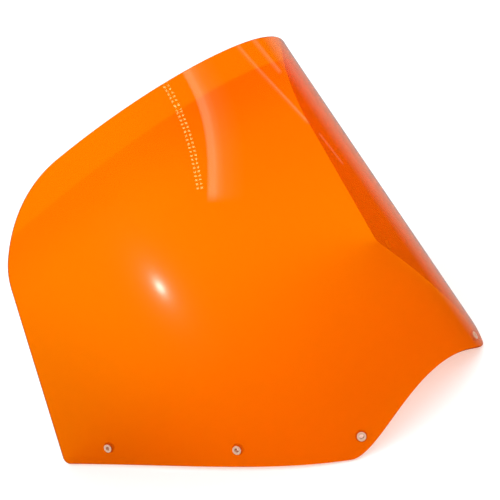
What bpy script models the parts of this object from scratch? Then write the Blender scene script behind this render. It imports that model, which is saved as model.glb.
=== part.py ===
"""Raked, wrap-round tinted screen: one moulded sheet and the six two-part fixings in its lower edge.

Metres, +Z up. The mirror plane is X = 0, the nose faces -Y, the lower edge stands on Z = 0, and
the origin is below the middle of the whole part.
"""

import math

import bmesh
import bpy
from mathutils import Matrix, Vector

MM = 0.001

# The sheet, measured over its outer face. u runs round the sheet from the nose, v runs up its straight lines.
SHEET = 3.0 * MM
SIDE_ANGLE = math.radians(61.2)  # how far each side has turned away from the nose
NOSE_SPREAD = 186.0 * MM  # how far round the bend of the nose reaches
RAKE = math.radians(30.5)  # lean of the sheet's straight lines from upright
TOP_EDGE = 195.7 * MM  # at the nose
TOP_DIP = 1.8 * MM  # how far the top edge dips at the nose
SEAT_LEVEL = -236.0 * MM  # where the seat plane meets the nose line
SIDE_FOOT = 393.3 * MM  # the side edge's u at v = 0
SIDE_SLOPE = math.radians(21.6)  # side edge from the sheet's straight lines
TOP_CORNER = 179.0 * MM  # the wide round that leaves the top edge
SIDE_CORNER = 75.0 * MM  # the tighter round that runs into the side edge
CORNER_SPLIT = math.radians(47)  # where one round takes over from the other
REAR_CORNER = 8.0 * MM

# The arch that lifts the lower edge off the seat plane at the nose, and the shallow one along each side.
ARCH_RISE = 49.6 * MM
ARCH_HALF_WIDTH = 121.0 * MM
SIDE_ARCH_RISE = 3.7 * MM
SIDE_ARCH_LENGTH = 290.0 * MM

# The lip that turns outwards along the top edge.
LIP_HEIGHT = 30.0 * MM
LIP_ANGLE = math.radians(1.2)

# The fixings: distances round the sheet from the nose, and up from the lower edge.
FIXING_PLACES = {
    "front": (102.0 * MM, 13.2 * MM),
    "middle": (217.5 * MM, 18.2 * MM),
    "rear": (354.0 * MM, 19.1 * MM),
}
HOLE_RADIUS = 3.6 * MM
GAP = 0.3 * MM
BORE_RADIUS = 2.2 * MM
FLANGE_RADIUS = 4.5 * MM
FLANGE = 1.1 * MM
WASHER_RADIUS = 6.0 * MM
WASHER = 1.5 * MM
CHAMFER = 0.25 * MM

COLUMNS = 38  # from the nose to each rear corner
BODY_ROWS = 17
LIP_ROWS = 9
LIP_SHARE = 0.13  # the share of a column's height that the closer rows cover
ROUND = 32
SECTION_STEP = 1.0 * MM

MATERIALS = {
    "tinted_sheet": ((1.0, 0.22, 0.01, 1.0), 0.06),
    "pale_nylon": ((0.78, 0.72, 0.66, 1.0), 0.45),
}


def clear_scene():
    for obj in list(bpy.data.objects):
        bpy.data.objects.remove(obj, do_unlink=True)


def material(name):
    """A Principled material in the slot's colour and roughness."""
    found = bpy.data.materials.get(name)
    if found:
        return found
    colour, roughness = MATERIALS[name]
    made = bpy.data.materials.new(name)
    made.use_nodes = True
    shader = made.node_tree.nodes["Principled BSDF"]
    shader.inputs["Base Color"].default_value = colour
    shader.inputs["Roughness"].default_value = roughness
    made.diffuse_color = colour
    return made


def add_object(name, shape, slot):
    """Turns a bmesh into a named object with its faces pointing out."""
    bmesh.ops.recalc_face_normals(shape, faces=shape.faces)
    mesh = bpy.data.meshes.new(name)
    shape.to_mesh(mesh)
    shape.free()
    obj = bpy.data.objects.new(name, mesh)
    obj.data.materials.append(material(slot))
    bpy.context.scene.collection.objects.link(obj)
    return obj


# ---- The sheet's form -------------------------------------------------------------------------------


def turn(u):
    """How far the sheet has turned away from the nose at u."""
    return SIDE_ANGLE * math.erf(u / NOSE_SPREAD)


def section(u):
    """(x, y) of the outer face's section at u: straight steps along the turning tangent."""
    steps = max(1, round(abs(u) / SECTION_STEP))
    step = u / steps
    angles = [turn((i + 0.5) * step) for i in range(steps)]
    return step * sum(map(math.cos, angles)), step * sum(map(math.sin, angles))


def lip_offset(v):
    """How far the lip stands out at v: nothing below its line, then an even curve that reaches LIP_ANGLE."""
    above = max(0.0, v - (TOP_EDGE - LIP_HEIGHT))
    return math.tan(LIP_ANGLE) * above**2 / (2 * LIP_HEIGHT)


def raked(x, y, v):
    """Section and height along the sheet, leant back and stood on the seat plane."""
    up = v - SEAT_LEVEL
    return Vector((x, y * math.cos(RAKE) + up * math.sin(RAKE), up * math.cos(RAKE) - y * math.sin(RAKE)))


def on_sheet(u, v, depth=0.0):
    """The point at (u, v), this deep below the outer face."""
    x, y = section(u)
    out = lip_offset(v) - depth
    angle = turn(u)
    return raked(x + out * math.sin(angle), y - out * math.cos(angle), v)


def outward(u):
    """The outer face's normal at u, below the lip."""
    return raked(math.sin(turn(u)), -math.cos(turn(u)), SEAT_LEVEL).normalized()


# ---- The sheet's outline ----------------------------------------------------------------------------


def arched(across, half_width, rise, power):
    """How high an arch stands, this far from its middle."""
    inside = 1 - (across / half_width) ** 2
    return rise * inside**power if inside > 0 else 0.0


def seat_edge(u):
    """The lower edge: the seat plane's cut through the sheet, lifted by the arches."""
    level = SEAT_LEVEL + math.tan(RAKE) * section(u)[1]
    side_half = SIDE_ARCH_LENGTH / 2
    nose = arched(u, ARCH_HALF_WIDTH, ARCH_RISE, 1.5)
    return level + nose + arched(abs(u) - ARCH_HALF_WIDTH - side_half, side_half, SIDE_ARCH_RISE, 1)


def corner_centres():
    """Centres of the wide and the tight round between the top edge and the side edge."""
    step = TOP_CORNER - SIDE_CORNER
    wide_v = TOP_EDGE + TOP_DIP - TOP_CORNER
    tight_v = wide_v + step * math.sin(CORNER_SPLIT)
    tight_u = SIDE_FOOT - tight_v * math.tan(SIDE_SLOPE) - SIDE_CORNER / math.cos(SIDE_SLOPE)
    return (tight_u - step * math.cos(CORNER_SPLIT), wide_v), (tight_u, tight_v)


def top_edge(u):
    """The top edge, its two rounds, then the side edge down to the rear corner."""
    (wide_u, wide_v), (tight_u, tight_v) = corner_centres()
    if u <= wide_u:
        return TOP_EDGE + TOP_DIP * (1 - math.cos(math.pi * u / wide_u)) / 2
    if u - wide_u < TOP_CORNER * math.cos(CORNER_SPLIT):
        return wide_v + math.sqrt(TOP_CORNER**2 - (u - wide_u) ** 2)
    if u - tight_u < SIDE_CORNER * math.cos(SIDE_SLOPE):
        return tight_v + math.sqrt(SIDE_CORNER**2 - (u - tight_u) ** 2)
    return (SIDE_FOOT - u) / math.tan(SIDE_SLOPE)


def rear_corner():
    """u where the side edge meets the lower edge."""
    low, high = SIDE_FOOT, SIDE_FOOT + abs(SEAT_LEVEL)
    for _ in range(50):
        middle = (low + high) / 2
        low, high = (middle, high) if top_edge(middle) > seat_edge(middle) else (low, middle)
    return low


def rear_round():
    """Centre of the rear corner's round, and the turn of each edge there."""
    tip = rear_corner()
    seat_turn = math.atan2(seat_edge(tip) - seat_edge(tip - REAR_CORNER), REAR_CORNER)
    half = (math.pi / 2 - SIDE_SLOPE + seat_turn) / 2
    middle = (math.pi / 2 - SIDE_SLOPE - seat_turn) / 2
    reach = REAR_CORNER / math.sin(half)
    return tip - reach * math.cos(middle), seat_edge(tip) + reach * math.sin(middle), seat_turn


def column_span(u):
    """(lowest, highest) v of the sheet at u, with the rear corner rounded."""
    u = abs(u)
    centre_u, centre_v, seat_turn = rear_round()
    low, high = seat_edge(u), top_edge(u)
    across = u - centre_u
    if across > REAR_CORNER * math.sin(seat_turn):
        low = max(low, centre_v - math.sqrt(max(0.0, REAR_CORNER**2 - across**2)))
    if across > REAR_CORNER * math.cos(SIDE_SLOPE):
        high = min(high, centre_v + math.sqrt(max(0.0, REAR_CORNER**2 - across**2)))
    return low, high


def column_places():
    """u of each column from one rear corner to the other, closer together towards the corners."""
    centre_u = rear_round()[0]
    end = centre_u + REAR_CORNER * math.cos(math.radians(12))
    bent = [end * math.sin(math.pi / 2 * i / COLUMNS) for i in range(COLUMNS)]
    even = [end * i / COLUMNS for i in range(COLUMNS)]
    half = [0.6 * e + 0.4 * b for e, b in zip(even, bent)] + [end]
    return [-u for u in reversed(half[1:])] + half


def row_shares():
    """Where the rows lie between a column's foot and its top, closer together through the lip."""
    body = [(1 - LIP_SHARE) * i / BODY_ROWS for i in range(BODY_ROWS)]
    lip = [1 - LIP_SHARE + LIP_SHARE * i / LIP_ROWS for i in range(LIP_ROWS + 1)]
    return body + lip


def sheet_shape():
    """The sheet as a grid of columns and rows on both faces, closed round its edge."""
    shape = bmesh.new()
    shares = row_shares()
    faces = []
    for depth in (0.0, SHEET):
        grid = []
        for u in column_places():
            low, high = column_span(u)
            grid.append([shape.verts.new(on_sheet(u, low + (high - low) * s, depth)) for s in shares])
        faces.append(grid)
    for grid in faces:
        for left, right in zip(grid, grid[1:]):
            for i in range(len(shares) - 1):
                shape.faces.new((left[i], right[i], right[i + 1], left[i + 1]))
    outer, inner = faces
    rims = [[column[0] for column in outer], [column[0] for column in inner]]
    rims[0] += outer[-1][1:-1] + [column[-1] for column in reversed(outer)] + outer[0][-2:0:-1]
    rims[1] += inner[-1][1:-1] + [column[-1] for column in reversed(inner)] + inner[0][-2:0:-1]
    around = len(rims[0])
    for i in range(around):
        j = (i + 1) % around
        shape.faces.new((rims[0][i], rims[0][j], rims[1][j], rims[1][i]))
    return shape


# ---- The fixings ------------------------------------------------------------------------------------


def fixing_frame(u, margin):
    """Placement of a fixing: its origin on the outer face, its Z pointing out of the sheet."""
    slope = math.atan2(seat_edge(abs(u) + MM) - seat_edge(abs(u) - MM), 2 * MM)
    v = seat_edge(u) + margin / math.cos(slope)
    z_axis = outward(u)
    x_axis = raked(math.cos(turn(u)), math.sin(turn(u)), SEAT_LEVEL).normalized()
    y_axis = z_axis.cross(x_axis)
    turned = Matrix((x_axis, y_axis, z_axis)).transposed().to_4x4()
    return Matrix.Translation(on_sheet(u, v)) @ turned


def lathed(profile):
    """A closed (radius, height) profile turned about Z, or a rod where the profile touches the axis."""
    shape = bmesh.new()
    rings = []
    for radius, height in profile:
        angles = [2 * math.pi * i / ROUND for i in range(ROUND)]
        rings.append([shape.verts.new((radius * math.cos(a), radius * math.sin(a), height)) for a in angles])
    for ring, following in zip(rings, rings[1:] + rings[:1]):
        for i in range(ROUND):
            j = (i + 1) % ROUND
            shape.faces.new((ring[i], ring[j], following[j], following[i]))
    return shape


def bush_shape():
    """A flanged sleeve: the flange lies on the outer face and the sleeve passes through the sheet."""
    sleeve = HOLE_RADIUS - GAP
    foot = -(SHEET + GAP + WASHER)
    top = GAP + FLANGE
    return lathed([
        (BORE_RADIUS, foot),
        (sleeve, foot),
        (sleeve, GAP),
        (FLANGE_RADIUS, GAP),
        (FLANGE_RADIUS, top - CHAMFER),
        (FLANGE_RADIUS - CHAMFER, top),
        (BORE_RADIUS + CHAMFER, top),
        (BORE_RADIUS, top - CHAMFER),
    ])


def washer_shape():
    """The washer that holds the sleeve from inside, and seats the screen."""
    head = -(SHEET + GAP)
    foot = head - WASHER
    return lathed([
        (HOLE_RADIUS, foot),
        (WASHER_RADIUS - CHAMFER, foot),
        (WASHER_RADIUS, foot + CHAMFER),
        (WASHER_RADIUS, head - CHAMFER),
        (WASHER_RADIUS - CHAMFER, head),
        (HOLE_RADIUS, head),
    ])


def hole_cutter(name, frame):
    """A hidden rod through the sheet."""
    shape = bmesh.new()
    reach = 4 * SHEET
    bmesh.ops.create_cone(
        shape, cap_ends=True, segments=ROUND, radius1=HOLE_RADIUS, radius2=HOLE_RADIUS, depth=2 * reach
    )
    cutter = add_object(name, shape, "tinted_sheet")
    cutter.matrix_world = frame
    cutter.hide_render = True
    cutter.display_type = "WIRE"
    return cutter


def cut_hole(panel, cutter):
    hole = panel.modifiers.new(cutter.name, "BOOLEAN")
    hole.operation = "DIFFERENCE"
    hole.solver = "EXACT"
    hole.object = cutter


def centre_on_origin():
    """Slides every object so that the pieces' box stands on the middle of the seat plane."""
    pieces = [obj for obj in bpy.data.objects if not obj.hide_render]
    corners = [obj.matrix_world @ corner.co for obj in pieces for corner in obj.data.vertices]
    low, high = (Vector(side(c[i] for c in corners) for i in range(3)) for side in (min, max))
    for obj in bpy.data.objects:
        obj.matrix_world.translation -= Vector(((low.x + high.x) / 2, (low.y + high.y) / 2, low.z))


def build():
    clear_scene()
    panel = add_object("screen_panel", sheet_shape(), "tinted_sheet")
    for side, sign in (("left", -1), ("right", 1)):
        for place, (u, margin) in FIXING_PLACES.items():
            frame = fixing_frame(sign * u, margin)
            cut_hole(panel, hole_cutter(f"hole_{place}_{side}", frame))
            for piece, shape in (("bush", bush_shape()), ("washer", washer_shape())):
                add_object(f"{piece}_{place}_{side}", shape, "pale_nylon").matrix_world = frame
    centre_on_origin()


build()
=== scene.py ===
"""Look of the wraparound tinted screen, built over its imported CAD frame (metres, +Z up, nose towards -Y)."""

import math

import bmesh
import bpy
from mathutils import Matrix, Vector
from mathutils.geometry import delaunay_2d_cdt, interpolate_bezier


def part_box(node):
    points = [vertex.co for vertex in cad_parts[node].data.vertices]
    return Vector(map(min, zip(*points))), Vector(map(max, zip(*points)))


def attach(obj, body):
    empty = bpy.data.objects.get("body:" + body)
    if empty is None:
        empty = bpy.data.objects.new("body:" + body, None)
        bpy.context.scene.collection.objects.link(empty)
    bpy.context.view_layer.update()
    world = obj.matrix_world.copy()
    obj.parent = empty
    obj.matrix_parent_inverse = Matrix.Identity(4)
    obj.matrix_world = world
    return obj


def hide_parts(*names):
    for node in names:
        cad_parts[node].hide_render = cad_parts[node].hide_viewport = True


MM = 0.001

# The sheet, as in the CAD model. u runs round its outer face from the nose, v runs up its straight lines.
SHEET = 3.0 * MM
SIDE_ANGLE = math.radians(61.2)
NOSE_SPREAD = 186.0 * MM
RAKE = math.radians(30.5)
TOP_EDGE = 195.7 * MM
TOP_DIP = 1.8 * MM
SEAT_LEVEL = -236.0 * MM
SIDE_FOOT = 393.3 * MM
SIDE_SLOPE = math.radians(21.6)
TOP_CORNER = 179.0 * MM
SIDE_CORNER = 75.0 * MM
CORNER_SPLIT = math.radians(47)
REAR_CORNER = 8.0 * MM
ARCH_RISE = 49.6 * MM
ARCH_HALF_WIDTH = 121.0 * MM
SIDE_ARCH_RISE = 3.7 * MM
SIDE_ARCH_LENGTH = 290.0 * MM
LIP_HEIGHT = 30.0 * MM
LIP_ANGLE = math.radians(1.2)

# The fixings, as in the CAD model.
FIXING_PLACES = {
    "front": (102.0 * MM, 13.2 * MM),
    "middle": (217.5 * MM, 18.2 * MM),
    "rear": (354.0 * MM, 19.1 * MM),
}
HOLE_RADIUS = 3.6 * MM
GAP = 0.3 * MM
BORE_RADIUS = 2.2 * MM
FLANGE_RADIUS = 4.5 * MM
FLANGE = 1.1 * MM
WASHER_RADIUS = 6.0 * MM
WASHER = 1.5 * MM

# How finely the look is modelled.
PATTERN_HALF = 0.45  # half the flat pattern's width, with room to spare
GRID = 5.0 * MM
EDGE_CLEAR = 0.7 * GRID  # how far the grid keeps from the pattern's edge
HOLE_CLEAR = HOLE_RADIUS + 0.4 * GRID  # and from the middle of each hole
EDGE_STEP = 3.0 * MM
REAR_CORNER_STEP = 0.8 * MM
LEAST_ARC_STEPS = 6
EDGE_ROUND = 0.8 * MM
EDGE_SEGMENTS = 4
HOLE_SEGMENTS = 40
TABLE_STEP = 0.5 * MM
HALVINGS = 50  # rounds of the search for the rear corner
SHIFT_STEPS = 400  # points along the lower edge in the search for the lowest and the foremost
TRIANGLES_INSIDE = 2  # delaunay_2d_cdt then returns the triangles inside the outer edge
SAME_POINT = 1e-9
ROUND = 64
FIXING_ROUND = 0.35 * MM
FIXING_SHARP = math.radians(35)  # the edges of a fixing that are sharper than this look sharp

# Where the painted light and shade in the sheet's colour change, as (from, to) in m: distances round the sheet
# from the nose, or heights.
NOSE_AREA = (10 * MM, 170 * MM)
FRONT_AREA = (60 * MM, 160 * MM)
REAR_AREA = (190 * MM, 380 * MM)
PAINTED_SHADE_RISE = (100 * MM, 165 * MM)
NOSE_PAINTED_SHADE_RISE = (-60 * MM, 165 * MM)
ALL_PAINTED_SHADE = 0.36  # how much painted shade darkens the colour below the lip's line all round the sheet, and how much more only at the nose
NOSE_PAINTED_SHADE = 0.64
# painted shade in the lip at the nose; less than below the line, so the lip is painted lighter
LIP_PAINTED_SHADE = 0.35
LIP_LINE = 1.4  # how soft the painted light's change at the lip's line is, in mm to either side
FOOT_SHADE = 210.0 * MM  # how far above its lower edge the painted shade on the sheet begins
REAR_SHADE_RISE = 0.6  # how much higher that starts at the rear
ALL_PAINTED_FOOT_SHADE = 0.08  # how much painted shade darkens the foot all along, and how much more at the rear and at the front
REAR_PAINTED_FOOT_SHADE = 0.74
FRONT_PAINTED_FOOT_SHADE = 0.22
# Painted light and shade on the sheet's points: painted shade below the lip's line and at the nose, the lip's
# lighter share, painted shade towards the feet, and the height above the lip's line.
LOOKS = ("deep", "lip_painted_shade", "painted_foot_shade", "above_line")

# Linear RGB, without the alpha.
ORANGE = (1.0, 0.235, 0.0)
# painted shade: the sheet's colour where shade is painted in below the lip's line and at the nose
PAINTED_SHADE_ORANGE = (1.0, 0.15, 0.0)
# painted shade: the sheet's colour where shade is painted in towards the feet
PAINTED_FOOT_SHADE_ORANGE = (0.80, 0.17, 0.0)
LAMP_TINT = (1.0, 0.95, 0.91)  # what the sheet lets through to the things that it shades
DARK_NYLON = (0.55, 0.36, 0.26)
PALE_NYLON = (0.70, 0.48, 0.36)
FLOOR_GREY = (0.93, 0.93, 0.93)
FLOOR_GLOW = (0.9, 1.0, 1.0)
WHITE_LIGHT = (1.0, 1.0, 1.0)
SPOT_LIGHT = (1.0, 0.95, 0.88)

PLASTIC_IOR = 1.49
NYLON_IOR = 1.53
CLEARNESS = 0.78  # the share of the light that the sheet passes on as glass would
POLISH = (0.004, 0.018)  # the sheet's roughness, from its best polished to its most handled places

# The camera.
CAMERA_PLACE = Vector((-0.5465, -0.6877, 0.5521))
CAMERA_AIM = Vector((-0.0731, -0.0346, 0.1931))
CAMERA_ROLL = math.radians(-16.5)
CAMERA_LENS = 63.57
CAMERA_SENSOR = 36.0

# The studio. The backdrop's glow is what the sheet mirrors at a glancing angle; the rest of the room is dark.
FLOOR_HALF = 6.0
FLOOR_LEVEL = -0.5 * MM
WHITE = 1.22
BACKDROP = 0.42
BACKDROP_CENTRE = Vector((0.72, 0.62, -0.1))
BACKDROP_INNER = math.radians(20)
BACKDROP_OUTER = math.radians(40)
DARK_ROOM = 0.006
FLOOR_LIFT = 0.16  # what the camera sees the floor glow by, which thins the shadow on it
LAMP_DISTANCE = 1.2
RIBBON_STEPS = 13  # points along each ribbon's curve
RIBBON_FADE = 0.09  # the share of a ribbon's length over which its lower end fades

# Lamps, as the ribbons that they make in the sheet: a Bezier curve in (u, v) mm, the ribbon's reach to either
# side of it in mm, (place, brightness) stops across it, radiance, colour, and how many dots it makes.
RIBBONS = {
    "soft": {
        "curve": ((-45, 205), (-44, 160), (-58, 124), (-98, 71)),
        "reach": (5, 34),
        "stops": ((0.0, 0.0), (0.07, 0.9), (0.2, 1.0), (0.3, 0.45), (0.45, 0.15), (0.7, 0.05), (1.0, 0.0)),
        "radiance": 4.0,
        "colour": (1.0, 0.78, 0.55),
    },
    "dotted": {
        "curve": ((-69.5, 205), (-69.5, 160), (-81, 128), (-99.5, 88)),
        "reach": (3.5, 3.5),
        "stops": (
            (0.0, 0.0),
            (0.12, 1.0),
            (0.31, 1.0),
            (0.43, 0.0),
            (0.57, 0.0),
            (0.69, 1.0),
            (0.88, 1.0),
            (1.0, 0.0),
        ),
        "radiance": 11.5,
        "colour": (1.0, 0.95, 0.4),
        "dots": 30,
    },
    "thin": {
        "curve": ((23, 205), (27, 170), (42, 125), (52, 87)),
        "reach": (6, 3.5),
        "stops": ((0.0, 0.0), (0.35, 0.25), (0.65, 1.0), (0.78, 0.5), (1.0, 0.0)),
        "radiance": 2.0,
        "colour": (1.0, 0.7, 0.5),
    },
    "short": {
        "curve": ((57, 76), (59, 62), (61, 48), (63, 34)),
        "reach": (3, 3),
        "stops": ((0.0, 0.0), (0.5, 1.0), (1.0, 0.0)),
        "radiance": 0.9,
        "colour": (1.0, 0.7, 0.5),
    },
    "lip": {
        "curve": ((52, 205), (55, 188), (59, 168), (63, 150)),
        "reach": (8, 5),
        "stops": ((0.0, 0.0), (0.6, 1.0), (1.0, 0.0)),
        "radiance": 0.9,
        "colour": (1.0, 0.8, 0.65),
    },
}
DOT_START = -0.2  # where on its sine wave a dot begins to glow

# The round lamp: its middle in (u, v) mm, how far its glow is modelled and in how many steps, its core's size
# in mm, its radiance, and the power of (1 + distance squared) that the glow follows.
SPOT_PLACE = (-188.0, 33.0)
SPOT_REACH = (70.0, 95.0)
SPOT_STEPS = 10
SPOT_CORE = (4.6, 9.0)
SPOT_RADIANCE = 24.0
SPOT_FALL = -1.5

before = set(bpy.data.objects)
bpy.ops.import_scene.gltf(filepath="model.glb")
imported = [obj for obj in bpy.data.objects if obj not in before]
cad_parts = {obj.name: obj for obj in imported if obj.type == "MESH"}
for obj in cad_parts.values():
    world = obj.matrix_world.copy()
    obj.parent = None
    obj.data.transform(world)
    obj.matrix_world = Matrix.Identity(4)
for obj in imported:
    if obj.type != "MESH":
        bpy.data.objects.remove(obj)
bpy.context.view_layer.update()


# ---- The sheet's form -------------------------------------------------------------------------------


def turn(u):
    """How far the sheet has turned away from the nose at u."""
    return SIDE_ANGLE * math.erf(u / NOSE_SPREAD)


def section_table():
    """(x, y) of the outer face's section at even steps of u from the nose."""
    table, x, y = [(0.0, 0.0)], 0.0, 0.0
    for i in range(round(PATTERN_HALF / TABLE_STEP)):
        angle = turn((i + 0.5) * TABLE_STEP)
        x += TABLE_STEP * math.cos(angle)
        y += TABLE_STEP * math.sin(angle)
        table.append((x, y))
    return table


SECTION = section_table()


def section(u):
    """(x, y) of the outer face's section at u."""
    place = abs(u) / TABLE_STEP
    i = min(int(place), len(SECTION) - 2)
    (x0, y0), (x1, y1) = SECTION[i], SECTION[i + 1]
    share = place - i
    return math.copysign(x0 + (x1 - x0) * share, u), y0 + (y1 - y0) * share


def lip_offset(v):
    """How far the lip stands out at v, and its slope there."""
    above = max(0.0, v - (TOP_EDGE - LIP_HEIGHT))
    slope = math.tan(LIP_ANGLE) * above / LIP_HEIGHT
    return slope * above / 2, slope


def raked(x, y, v):
    """A direction in the sheet's own axes, leant back into the frame's."""
    return Vector((x, y * math.cos(RAKE) + v * math.sin(RAKE), v * math.cos(RAKE) - y * math.sin(RAKE)))


def outward(u, v=0.0):
    """The outer face's normal."""
    slope = lip_offset(v)[1]
    return raked(math.sin(turn(u)), -math.cos(turn(u)), -slope).normalized()


def arched(across, half_width, rise, power):
    """How high an arch stands, this far from its middle."""
    inside = 1 - (across / half_width) ** 2
    return rise * inside**power if inside > 0 else 0.0


def seat_edge(u):
    """The lower edge: the seat plane's cut through the sheet, lifted by the arches."""
    level = SEAT_LEVEL + math.tan(RAKE) * section(u)[1]
    side_half = SIDE_ARCH_LENGTH / 2
    nose = arched(u, ARCH_HALF_WIDTH, ARCH_RISE, 1.5)
    return level + nose + arched(abs(u) - ARCH_HALF_WIDTH - side_half, side_half, SIDE_ARCH_RISE, 1)


def corner_centres():
    """Centres of the wide and the tight round between the top edge and the side edge."""
    step = TOP_CORNER - SIDE_CORNER
    wide_v = TOP_EDGE + TOP_DIP - TOP_CORNER
    tight_v = wide_v + step * math.sin(CORNER_SPLIT)
    tight_u = SIDE_FOOT - tight_v * math.tan(SIDE_SLOPE) - SIDE_CORNER / math.cos(SIDE_SLOPE)
    return (tight_u - step * math.cos(CORNER_SPLIT), wide_v), (tight_u, tight_v)


def rear_corner():
    """u where the side edge meets the lower edge."""
    low, high = SIDE_FOOT, SIDE_FOOT + abs(SEAT_LEVEL)
    for _ in range(HALVINGS):
        middle = (low + high) / 2
        side = (SIDE_FOOT - middle) / math.tan(SIDE_SLOPE)
        low, high = (middle, high) if side > seat_edge(middle) else (low, middle)
    return low


def rear_round():
    """Centre of the rear corner's round, and the lower edge's slope there."""
    tip = rear_corner()
    seat_turn = math.atan2(seat_edge(tip) - seat_edge(tip - REAR_CORNER), REAR_CORNER)
    half = (math.pi / 2 - SIDE_SLOPE + seat_turn) / 2
    middle = (math.pi / 2 - SIDE_SLOPE - seat_turn) / 2
    reach = REAR_CORNER / math.sin(half)
    return tip - reach * math.cos(middle), seat_edge(tip) + reach * math.sin(middle), seat_turn


def nose_shift():
    """What slides the sheet until its box is the CAD one's: the origin is below the middle of the part."""
    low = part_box("screen_panel")[0]
    feet = []
    for i in range(SHIFT_STEPS + 1):
        u = rear_corner() * i / SHIFT_STEPS
        x, y = section(u)
        angle = turn(u)
        for depth in (0.0, SHEET):
            across, back = x - depth * math.sin(angle), y + depth * math.cos(angle)
            feet.append(raked(across, back, seat_edge(u) - SEAT_LEVEL))
    return Vector((0.0, low[1] - min(p.y for p in feet), low[2] - min(p.z for p in feet)))


SHIFT = nose_shift()


def on_sheet(u, v, depth=0.0):
    """The point at (u, v), this deep below the outer face."""
    x, y = section(u)
    out = lip_offset(v)[0] - depth
    return raked(x + out * math.sin(turn(u)), y - out * math.cos(turn(u)), v - SEAT_LEVEL) + SHIFT


# ---- The sheet's flat pattern -----------------------------------------------------------------------


def arc(centre, radius, start, end, step=EDGE_STEP):
    """Points along an arc, ends included, with angles in radians."""
    count = max(LEAST_ARC_STEPS, math.ceil(abs(end - start) * radius / step))
    return [
        Vector((centre[0] + radius * math.cos(a), centre[1] + radius * math.sin(a)))
        for a in (start + (end - start) * i / count for i in range(count + 1))
    ]


def run(start, end):
    """Points from start towards end, both left out."""
    count = math.ceil((end - start).length / EDGE_STEP)
    return [start.lerp(end, i / count) for i in range(1, count)]


def half_outline():
    """The pattern's right half, from the arch's crown round by the rear corner to the top edge's middle."""
    centre_u, centre_v, seat_turn = rear_round()
    wide, tight = corner_centres()
    rear = arc((centre_u, centre_v), REAR_CORNER, seat_turn - math.pi / 2, SIDE_SLOPE, REAR_CORNER_STEP)
    foot_count = math.ceil(rear[0].x / EDGE_STEP)
    foot = [Vector((u, seat_edge(u))) for u in (rear[0].x * i / foot_count for i in range(foot_count))]
    side = arc(tight, SIDE_CORNER, SIDE_SLOPE, CORNER_SPLIT)
    corner = arc(wide, TOP_CORNER, CORNER_SPLIT, math.pi / 2)
    top_count = math.ceil(wide[0] / EDGE_STEP)
    top = [wide[0] * (1 - i / top_count) for i in range(1, top_count + 1)]
    dip = [Vector((u, TOP_EDGE + TOP_DIP * (1 - math.cos(math.pi * u / wide[0])) / 2)) for u in top]
    return foot + rear + run(rear[-1], side[0]) + side + corner[1:] + dip


def outline():
    """The whole pattern's edge, counter-clockwise."""
    right = half_outline()
    left = [Vector((-p.x, p.y)) for p in reversed(right[1:-1])]
    return right + left


def edge_normals(loop):
    """Outward normals of a counter-clockwise loop of points."""
    normals = []
    for i in range(len(loop)):
        along = loop[(i + 1) % len(loop)] - loop[i - 1]
        normals.append(Vector((along.y, -along.x)).normalized())
    return normals


def fixing_place(u, margin):
    """(u, v) of a fixing."""
    slope = math.atan2(seat_edge(abs(u) + MM) - seat_edge(abs(u) - MM), 2 * MM)
    return u, seat_edge(u) + margin / math.cos(slope)


def fixing_places():
    """(u, v) of every fixing, by its place and side."""
    return {
        f"{place}_{side}": fixing_place(sign * u, margin)
        for side, sign in (("left", -1), ("right", 1))
        for place, (u, margin) in FIXING_PLACES.items()
    }


def hole_loops():
    """Clockwise circles round the fixings, so that their outward normals point into the holes."""
    step = 2 * math.pi * HOLE_RADIUS / HOLE_SEGMENTS
    return [arc(place, HOLE_RADIUS, 2 * math.pi, 0, step)[:-1] for place in fixing_places().values()]


def inside(point, loop):
    """True if the loop goes round the point."""
    crossings = 0
    for a, b in zip(loop, loop[1:] + loop[:1]):
        if (a.y > point.y) != (b.y > point.y):
            crossings += point.x < a.x + (b.x - a.x) * (point.y - a.y) / (b.y - a.y)
    return crossings % 2 == 1


def grid_cell(point):
    """The square of the plane that holds the point."""
    return int(point.x // GRID), int(point.y // GRID)


def grid_points(loop):
    """A triangular grid inside the pattern, clear of its edge and its holes."""
    holes = [Vector(p) for p in fixing_places().values()]
    near = {}
    for p in loop:
        near.setdefault(grid_cell(p), []).append(p)
    row_height = GRID * math.sqrt(3) / 2
    spans = math.ceil(PATTERN_HALF / GRID)
    found = []
    for row in range(math.ceil((TOP_EDGE - SEAT_LEVEL) / row_height)):
        for column in range(-spans, spans + 1):
            point = Vector(((column + (row % 2) / 2) * GRID, SEAT_LEVEL + row * row_height))
            i, j = grid_cell(point)
            close = [p for di in (-1, 0, 1) for dj in (-1, 0, 1) for p in near.get((i + di, j + dj), ())]
            if any((p - point).length < EDGE_CLEAR for p in close):
                continue
            if any((p - point).length < HOLE_CLEAR for p in holes):
                continue
            if inside(point, loop):
                found.append(point)
    return found


def triangulated(loops):
    """The pattern's points and triangles, and the point that each place on these loops became."""
    edges, start = [], 0
    for loop in loops:
        edges += [(start + i, start + (i + 1) % len(loop)) for i in range(len(loop))]
        start += len(loop)
    points = [p for loop in loops for p in loop] + grid_points(loops[0])
    flat, _, faces, origins, _, _ = delaunay_2d_cdt(points, edges, [], TRIANGLES_INSIDE, SAME_POINT)
    holes = [Vector(p) for p in fixing_places().values()]
    kept = []
    for face in faces:
        middle = sum((flat[i] for i in face), Vector((0.0, 0.0))) / len(face)
        if all((middle - hole).length > HOLE_RADIUS for hole in holes):
            kept.append(face)
    point_of = {old: new for new, olds in enumerate(origins) for old in olds}
    return flat, kept, point_of


def edge_profile():
    """(tilt, depth) down the rounded edge, between the outer face and the inner one."""
    steps = []
    for k in range(1, 2 * EDGE_SEGMENTS):
        tilt = math.pi / 2 * k / EDGE_SEGMENTS
        drop = EDGE_ROUND * (1 - abs(math.cos(tilt)))
        if k <= EDGE_SEGMENTS:
            steps.append((tilt, drop))
        if k >= EDGE_SEGMENTS:
            steps.append((tilt, SHEET - drop))
    return steps


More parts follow.
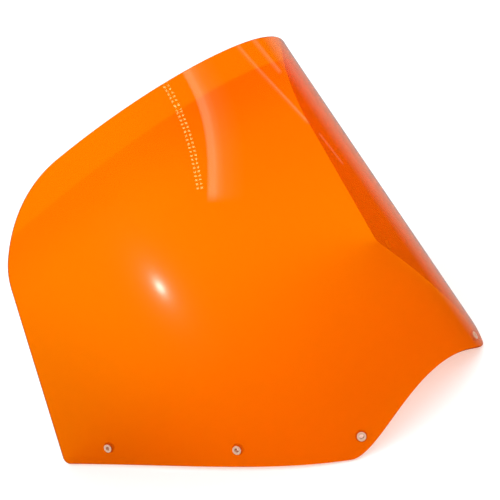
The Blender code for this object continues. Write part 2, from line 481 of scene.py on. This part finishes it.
def sheet_mesh():
    """Both faces from the flat pattern, joined by a rounded edge, with the form's own normals."""
    loops = [outline()] + hole_loops()
    normals = [edge_normals(loop) for loop in loops]
    inset = [[p - n * EDGE_ROUND for p, n in zip(loop, ns)] for loop, ns in zip(loops, normals)]
    flat, triangles, point_of = triangulated(inset)
    verts, custom, shades = [], [], []

    def add_point(p, depth, normal):
        verts.append(on_sheet(p.x, p.y, depth))
        custom.append(normal)
        shades.append(looks(p.x, p.y))
        return len(verts) - 1

    polys = []
    for depth, facing in ((0.0, 1), (SHEET, -1)):
        face = [add_point(p, depth, outward(p.x, p.y) * facing) for p in flat]
        polys += [[face[i] for i in triangle[::facing]] for triangle in triangles]
    start = 0
    for loop, ns in zip(loops, normals):
        rim = [point_of[start + i] for i in range(len(loop))]
        rings = [rim]
        for tilt, depth in edge_profile():
            back = EDGE_ROUND * (1 - math.sin(tilt))
            ring = []
            for p, n in zip(loop, ns):
                q = p - n * back
                side = raked(n.x * math.cos(turn(q.x)), n.x * math.sin(turn(q.x)), n.y)
                normal = outward(q.x, q.y) * math.cos(tilt) + side * math.sin(tilt)
                ring.append(add_point(q, depth, normal.normalized()))
            rings.append(ring)
        rings.append([len(flat) + i for i in rim])
        for ring, following in zip(rings, rings[1:]):
            for i in range(len(loop)):
                j = (i + 1) % len(loop)
                polys.append([ring[i], following[i], following[j], ring[j]])
        start += len(loop)
    return verts, polys, custom, shades


def smooth(value, low, high):
    """0 at low, 1 at high, eased between."""
    t = min(1.0, max(0.0, (value - low) / (high - low)))
    return t * t * (3 - 2 * t)


def looks(u, v):
    """The values of LOOKS here, all of them painted light and shade: how much painted shade darkens the
    sheet's colour below the lip's line and in the lip, from 0 to 1, which leaves the lip lighter, how much
    painted shade darkens it towards the feet, and the height above the line in mm."""
    round_nose = abs(u)
    nose = 1 - smooth(round_nose, *NOSE_AREA)
    front = 1 - smooth(round_nose, *FRONT_AREA)
    rear = smooth(round_nose, *REAR_AREA)
    # painted shade below the lip's line, all round and more at the nose
    deep = ALL_PAINTED_SHADE * smooth(v, *PAINTED_SHADE_RISE) + NOSE_PAINTED_SHADE * nose * smooth(v, *NOSE_PAINTED_SHADE_RISE)
    foot = smooth(seat_edge(u) - v, -FOOT_SHADE * (1 + REAR_SHADE_RISE * rear), 0.0)
    painted_foot_shade = foot * (ALL_PAINTED_FOOT_SHADE + REAR_PAINTED_FOOT_SHADE * rear + FRONT_PAINTED_FOOT_SHADE * front)
    return deep, LIP_PAINTED_SHADE * nose, painted_foot_shade, (v - TOP_EDGE + LIP_HEIGHT) / MM


def build_panel(material):
    """The sheet, with its painted light and shade as attributes of its points."""
    verts, polys, custom, shades = sheet_mesh()
    mesh = bpy.data.meshes.new("tinted_screen")
    mesh.from_pydata(verts, [], polys)
    mesh.update()
    mesh.shade_smooth()
    mesh.normals_split_custom_set_from_vertices([tuple(n) for n in custom])
    for name, values in zip(LOOKS, zip(*shades)):
        mesh.attributes.new(name, "FLOAT", "POINT").data.foreach_set("value", values)
    obj = bpy.data.objects.new("tinted_screen", mesh)
    obj.data.materials.append(material)
    bpy.context.scene.collection.objects.link(obj)
    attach(obj, "root")
    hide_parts("screen_panel")


# ---- The fixings ------------------------------------------------------------------------------------


def fixing_frame(u, v):
    """Placement of a fixing: its origin on the outer face, its Z pointing out of the sheet."""
    z_axis = outward(u)
    x_axis = raked(math.cos(turn(u)), math.sin(turn(u)), 0.0)
    turned = Matrix((x_axis, z_axis.cross(x_axis), z_axis)).transposed().to_4x4()
    return Matrix.Translation(on_sheet(u, v)) @ turned


def rounded(profile):
    """The closed profile of square corners, with every (radius, height, True) among them rounded."""
    points = []
    for i, (r, z, soft) in enumerate(profile):
        here = Vector((r, z))
        if not soft:
            points.append(here)
            continue
        before = (Vector(profile[i - 1][:2]) - here).normalized()
        after = (Vector(profile[(i + 1) % len(profile)][:2]) - here).normalized()
        for k in range(EDGE_SEGMENTS + 1):
            t = math.pi / 2 * k / EDGE_SEGMENTS
            points.append(here + FIXING_ROUND * (before * (1 - math.sin(t)) + after * (1 - math.cos(t))))
    return points


def lathe(name, profile, frame_matrix, material, node):
    """A closed (radius, height) profile turned about the fixing's Z, standing for a CAD node."""
    shape = bmesh.new()
    turns = [2 * math.pi * i / ROUND for i in range(ROUND)]
    rings = []
    for radius, height in profile:
        rings.append([shape.verts.new((radius * math.cos(a), radius * math.sin(a), height)) for a in turns])
    for ring, following in zip(rings, rings[1:] + rings[:1]):
        for i in range(ROUND):
            j = (i + 1) % ROUND
            shape.faces.new((ring[i], ring[j], following[j], following[i]))
    bmesh.ops.recalc_face_normals(shape, faces=shape.faces)
    mesh = bpy.data.meshes.new(name)
    shape.to_mesh(mesh)
    shape.free()
    mesh.transform(frame_matrix)
    mesh.shade_smooth()
    mesh.set_sharp_from_angle(angle=FIXING_SHARP)
    mesh.materials.append(material)
    piece = bpy.data.objects.new(name, mesh)
    bpy.context.scene.collection.objects.link(piece)
    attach(piece, "root")
    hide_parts(node)


def bush_profile():
    """The sleeve through the sheet and the washer, with its flange on the outer face."""
    sleeve = HOLE_RADIUS - GAP
    foot = -(SHEET + GAP + WASHER)
    top = GAP + FLANGE
    corners = [
        (BORE_RADIUS, foot, True),
        (sleeve, foot, True),
        (sleeve, GAP, False),
        (FLANGE_RADIUS, GAP, False),
        (FLANGE_RADIUS, top, True),
        (BORE_RADIUS, top, True),
    ]
    return rounded(corners)


def washer_profile():
    """The washer on the inner face."""
    head = -(SHEET + GAP)
    foot = head - WASHER
    corners = [
        (HOLE_RADIUS, foot, False),
        (WASHER_RADIUS, foot, True),
        (WASHER_RADIUS, head, True),
        (HOLE_RADIUS, head, False),
    ]
    return rounded(corners)


def build_fixings(material):
    """A bush and a washer in every hole."""
    for place, (u, v) in fixing_places().items():
        where = fixing_frame(u, v)
        lathe(f"nylon_bush_{place}", bush_profile(), where, material, f"bush_{place}")
        lathe(f"nylon_washer_{place}", washer_profile(), where, material, f"washer_{place}")


# ---- Materials --------------------------------------------------------------------------------------


def feed(made, node, inputs):
    """Sets each of a node's inputs: to a value, or by a link from another node's output."""
    for name, value in inputs.items():
        if isinstance(value, bpy.types.NodeSocket):
            made.node_tree.links.new(value, node.inputs[name])
        else:
            node.inputs[name].default_value = value


def add_node(made, kind, inputs, **settings):
    """A new shader node with these settings and inputs."""
    node = made.node_tree.nodes.new(f"ShaderNode{kind}")
    for name, value in settings.items():
        setattr(node, name, value)
    feed(made, node, inputs)
    return node


def calculated(made, operation, *values):
    """What a Math node makes of these numbers and outputs."""
    return add_node(made, "Math", dict(enumerate(values)), operation=operation).outputs[0]


def mapped(made, value, interpolation, **ends):
    """A value carried from one range to another. The ends that aren't given are 0 and 1."""
    names = {"from_min": "From Min", "from_max": "From Max", "to_min": "To Min", "to_max": "To Max"}
    inputs = {names[end]: limit for end, limit in ends.items()}
    ranged = add_node(made, "MapRange", {"Value": value, **inputs}, interpolation_type=interpolation)
    return ranged.outputs["Result"]


def mixed(made, factor, first, second, kind="FLOAT"):
    """A mix of two values, or of two colours."""
    mix = add_node(made, "Mix", {"Factor": factor, "A": first, "B": second}, data_type=kind)
    return mix.outputs["Result"]


def mixed_shaders(made, factor, first, second):
    """The first shader where the factor is 0 and the second where it is 1."""
    return add_node(made, "MixShader", {0: factor, 1: first.outputs[0], 2: second.outputs[0]}).outputs[0]


def graded(made, value, stops):
    """The colour of a ramp with these (place, colour) stops."""
    ramp = add_node(made, "ValToRGB", {"Fac": value})
    marks = ramp.color_ramp.elements
    while len(marks) < len(stops):
        marks.new(0.5)
    for mark, (place, colour) in zip(marks, stops):
        mark.position = place
        mark.color = (*colour, 1.0)
    return ramp.outputs["Color"]


def new_material(name):
    """A material with its nodes on, and its Principled shader."""
    made = bpy.data.materials.new(name)
    made.use_nodes = True
    return made, made.node_tree.nodes["Principled BSDF"]


def tinted_sheet():
    """Clear orange plastic: mostly tinted glass, the rest matt, with painted shade in its colour. Shadow rays
    go through it as tinted light.
    """
    made, shader = new_material("tinted_sheet")
    look = {name: add_node(made, "Attribute", {}, attribute_name=name).outputs["Fac"] for name in LOOKS}
    # Painted light and shade: the colour is darkened below the lip's line and at the nose, less in the lip,
    # and darkened towards the feet.
    in_lip = mapped(made, look["above_line"], "SMOOTHSTEP", from_min=-LIP_LINE, from_max=LIP_LINE)
    depth = mixed(made, in_lip, look["deep"], look["lip_painted_shade"])
    colour = mixed(made, depth, (*ORANGE, 1.0), (*PAINTED_SHADE_ORANGE, 1.0), "RGBA")
    handling = add_node(made, "TexNoise", {"Scale": 14.0, "Detail": 5.0})
    surface = {
        "IOR": PLASTIC_IOR,
        "Transmission Weight": CLEARNESS,
        "Base Color": mixed(made, look["painted_foot_shade"], colour, (*PAINTED_FOOT_SHADE_ORANGE, 1.0), "RGBA"),
        "Roughness": mapped(made, handling.outputs["Fac"], "LINEAR", to_min=POLISH[0], to_max=POLISH[1]),
    }
    feed(made, shader, surface)
    lamp = add_node(made, "BsdfTransparent", {"Color": (*LAMP_TINT, 1.0)})
    ray = add_node(made, "LightPath", {})
    mix = mixed_shaders(made, ray.outputs["Is Shadow Ray"], shader, lamp)
    feed(made, made.node_tree.nodes["Material Output"], {"Surface": mix})
    return made


def pale_nylon():
    """As-moulded nylon: pale, faintly mottled, softly rough, and letting some light into it."""
    made, shader = new_material("pale_nylon")
    noise = add_node(made, "TexNoise", {"Scale": 900.0})
    surface = {
        "Base Color": graded(made, noise.outputs["Fac"], ((0.0, DARK_NYLON), (1.0, PALE_NYLON))),
        "Roughness": 0.42,
        "IOR": NYLON_IOR,
        "Subsurface Weight": 0.6,
        "Subsurface Radius": (1.0, 0.7, 0.5),
        "Subsurface Scale": 3 * MM,
    }
    feed(made, shader, surface)
    return made


# ---- Stage ------------------------------------------------------------------------------------------


def make_floor():
    """White ground, which mirrors don't see. The camera sees it glow, so that the shadow on it looks thin."""
    mesh = bpy.data.meshes.new("floor")
    corners = [(x * FLOOR_HALF, y * FLOOR_HALF, 0) for x, y in ((-1, -1), (1, -1), (1, 1), (-1, 1))]
    mesh.from_pydata(corners, [], [(0, 1, 2, 3)])
    floor = bpy.data.objects.new("floor", mesh)
    bpy.context.scene.collection.objects.link(floor)
    floor.location.z = FLOOR_LEVEL
    pale, shader = new_material("pale_floor")
    ray = add_node(pale, "LightPath", {})
    surface = {
        "Base Color": (*FLOOR_GREY, 1.0),
        "Roughness": 0.9,
        "Emission Color": (*FLOOR_GLOW, 1.0),
        "Emission Strength": calculated(pale, "MULTIPLY", ray.outputs["Is Camera Ray"], FLOOR_LIFT),
    }
    feed(pale, shader, surface)
    floor.data.materials.append(pale)
    floor.visible_glossy = False


def make_world():
    """White for all but a mirror's view of the room, where only the backdrop glows and the rest is dark."""
    world = bpy.data.worlds.new("studio")
    bpy.context.scene.world = world
    world.use_nodes = True
    white = world.node_tree.nodes["Background"]
    feed(world, white, {"Color": (*WHITE_LIGHT, 1.0), "Strength": WHITE})
    where = add_node(world, "TexCoord", {})
    directions = {0: where.outputs["Generated"], 1: BACKDROP_CENTRE.normalized()}
    across = add_node(world, "VectorMath", directions, operation="DOT_PRODUCT")
    glow = mapped(
        world,
        across.outputs["Value"],
        "SMOOTHSTEP",
        from_min=math.cos(BACKDROP_OUTER),
        from_max=math.cos(BACKDROP_INNER),
        to_min=DARK_ROOM,
        to_max=BACKDROP,
    )
    room = add_node(world, "Background", {"Color": (*WHITE_LIGHT, 1.0), "Strength": glow})
    ray = add_node(world, "LightPath", {}).outputs
    mirrored = calculated(world, "MULTIPLY", ray["Is Glossy Ray"], ray["Is Reflection Ray"])
    mix = mixed_shaders(world, mirrored, white, room)
    feed(world, world.node_tree.nodes["World Output"], {"Surface": mix})


def seen_in(u, v):
    """Where a lamp stands for the camera to see it in the sheet at (u, v)."""
    point = on_sheet(u, v)
    sight = (point - CAMERA_PLACE).normalized()
    normal = outward(u, v)
    return point + LAMP_DISTANCE * (sight - 2 * sight.dot(normal) * normal)


def make_glow(made, colour, radiance, share):
    """Makes a material glow with this share of the radiance at each place, and nothing else."""
    strength = calculated(made, "MULTIPLY", share, radiance)
    light = add_node(made, "Emission", {"Color": (*colour, 1.0), "Strength": strength})
    feed(made, made.node_tree.nodes["Material Output"], {"Surface": light.outputs[0]})


def lamp_place(made):
    """Where on its lamp a ray ends, from the mesh's UV map."""
    return add_node(made, "UVMap", {}, uv_map="UVMap").outputs[0]


def ribbon_material(name, stops, radiance, colour, dots):
    """Brightness across the ribbon by its stops. Along it, it is cut into dots, or fades at its lower end."""
    made = new_material(f"{name}_light")[0]
    split = add_node(made, "SeparateXYZ", {0: lamp_place(made)})
    across = graded(made, split.outputs["X"], [(place, (value,) * 3) for place, value in stops])
    if dots:
        turns = calculated(made, "MULTIPLY", split.outputs["Y"], 2 * math.pi * dots)
        along = mapped(made, calculated(made, "SINE", turns), "LINEAR", from_min=DOT_START)
    else:
        along = mapped(made, split.outputs["Y"], "SMOOTHSTEP", from_min=1.0, from_max=1.0 - RIBBON_FADE)
    make_glow(made, colour, radiance, calculated(made, "MULTIPLY", across, along))
    return made


def add_lamp(name, verts, faces, spots, material):
    """A glowing sheet that is seen only in mirrors."""
    mesh = bpy.data.meshes.new(name)
    mesh.from_pydata(verts, [], faces)
    layer = mesh.uv_layers.new(name="UVMap")
    for loop in mesh.loops:
        layer.data[loop.index].uv = spots[loop.vertex_index]
    mesh.materials.append(material)
    lamp = bpy.data.objects.new(name, mesh)
    for way in ("camera", "diffuse", "transmission", "volume_scatter", "shadow"):
        setattr(lamp, f"visible_{way}", False)
    bpy.context.scene.collection.objects.link(lamp)


def make_ribbon(name, curve, reach, stops, radiance, colour, dots=0):
    """One lamp that the camera sees as a ribbon in the sheet."""
    points = interpolate_bezier(*(Vector(p) * MM for p in curve), RIBBON_STEPS)
    lengths = [0.0]
    for a, b in zip(points, points[1:]):
        lengths.append(lengths[-1] + (b - a).length)
    verts, spots = [], []
    for i, point in enumerate(points):
        along = (points[min(i + 1, len(points) - 1)] - points[max(i - 1, 0)]).normalized()
        across = Vector((-along.y, along.x))
        for side, share in ((-reach[0], 0.0), (reach[1], 1.0)):
            edge = point + across * side * MM
            verts.append(seen_in(edge.x, edge.y))
            spots.append((share, lengths[i] / lengths[-1]))
    faces = [(2 * i, 2 * i + 1, 2 * i + 3, 2 * i + 2) for i in range(len(points) - 1)]
    add_lamp(f"{name}_ribbon", verts, faces, spots, ribbon_material(name, stops, radiance, colour, dots))


def make_spot():
    """The round lamp: a hot core in a wide, faint glow that falls off with distance from its middle."""
    made = new_material("spot_light")[0]
    place = lamp_place(made)
    far = add_node(made, "VectorMath", {0: place, 1: place}, operation="DOT_PRODUCT").outputs["Value"]
    glow = calculated(made, "POWER", calculated(made, "ADD", far, 1.0), SPOT_FALL)
    make_glow(made, SPOT_LIGHT, SPOT_RADIANCE, glow)
    verts, spots, faces = [], [], []
    for i in range(SPOT_STEPS + 1):
        for j in range(SPOT_STEPS + 1):
            across = (2 * i / SPOT_STEPS - 1) * SPOT_REACH[0]
            up = (2 * j / SPOT_STEPS - 1) * SPOT_REACH[1]
            verts.append(seen_in((SPOT_PLACE[0] + across) * MM, (SPOT_PLACE[1] + up) * MM))
            spots.append((across / SPOT_CORE[0], up / SPOT_CORE[1]))
    row = SPOT_STEPS + 1
    for i in range(SPOT_STEPS):
        for j in range(SPOT_STEPS):
            k = i * row + j
            faces.append((k, k + 1, k + row + 1, k + row))
    add_lamp("spot", verts, faces, spots, made)


def make_lamps():
    for name, values in RIBBONS.items():
        make_ribbon(name, **values)
    make_spot()


def make_camera():
    """The photo's camera, as it was fitted to the outline."""
    data = bpy.data.cameras.new("camera")
    data.lens = CAMERA_LENS
    data.sensor_width = CAMERA_SENSOR
    camera = bpy.data.objects.new("camera", data)
    bpy.context.scene.collection.objects.link(camera)
    aim = (CAMERA_AIM - CAMERA_PLACE).to_track_quat("-Z", "Y").to_matrix().to_4x4()
    camera.matrix_world = Matrix.Translation(CAMERA_PLACE) @ aim @ Matrix.Rotation(CAMERA_ROLL, 4, "Z")
    bpy.context.scene.camera = camera


def main():
    bpy.context.scene.view_settings.view_transform = "Standard"
    build_panel(tinted_sheet())
    build_fixings(pale_nylon())
    make_floor()
    make_world()
    make_lamps()
    make_camera()


main()
